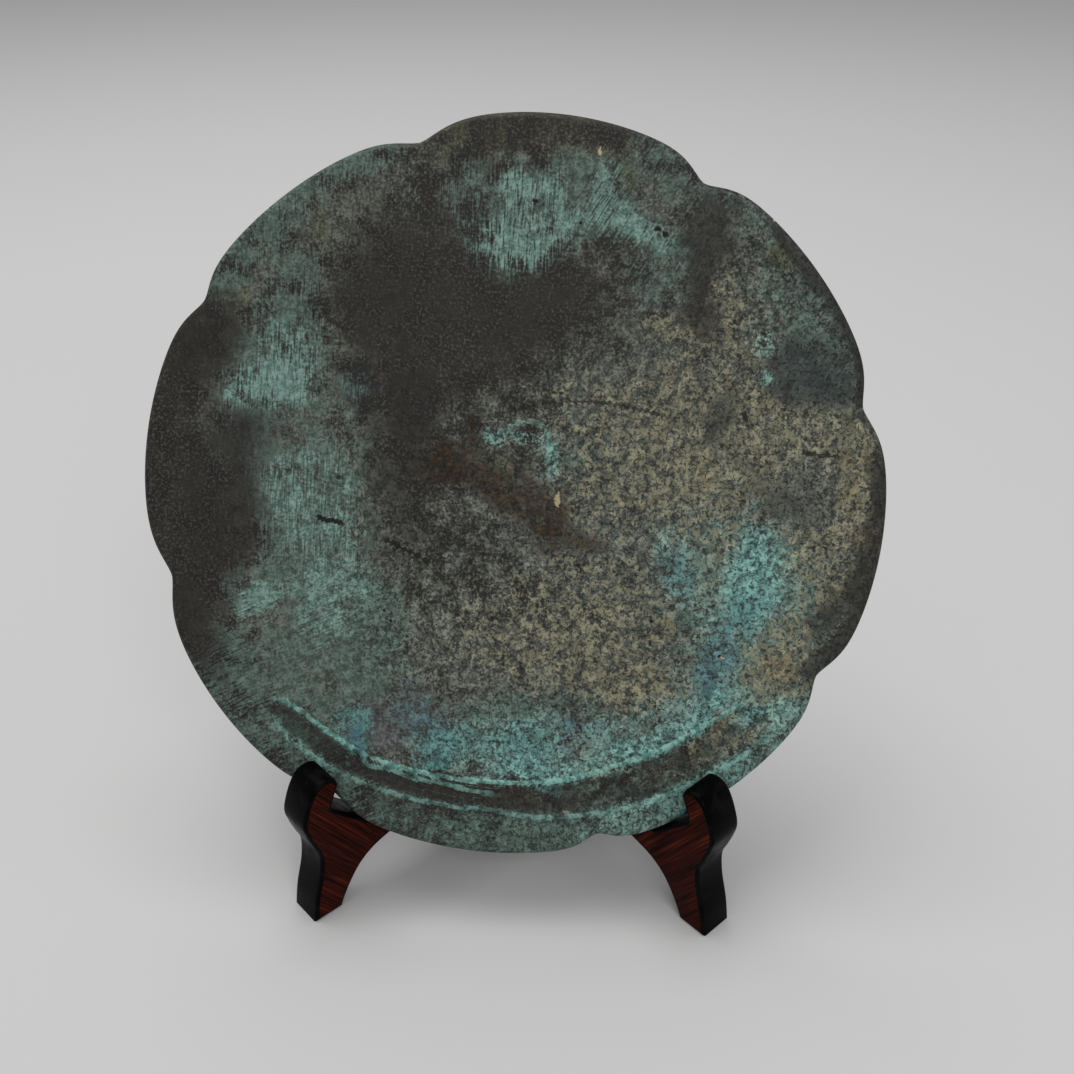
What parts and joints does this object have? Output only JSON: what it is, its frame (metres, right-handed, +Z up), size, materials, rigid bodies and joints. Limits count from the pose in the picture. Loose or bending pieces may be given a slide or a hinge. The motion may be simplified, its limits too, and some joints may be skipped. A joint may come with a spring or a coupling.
{
  "type": "ancient bronze mirror",
  "caption": "Cast bronze mirror with a lobed rim and a pierced knob on its back, leaning face forward in a low display stand of crossed hardwood boards.",
  "frame": {"origin": "middle of the object's footprint box, on the plane that the stand's feet rest on", "axes": "+Z up, -Y towards the viewer of the polished face, +X to that viewer's right"},
  "size_m": [0.2268, 0.1128, 0.2276],
  "materials": {
    "patinated_bronze": "satin",
    "dark_hardwood": "satin"
  },
  "bodies": {
    "root": {"mirror": "patinated_bronze", "stand_left_board": "dark_hardwood", "stand_right_board": "dark_hardwood"}
  },
  "joints": []
}
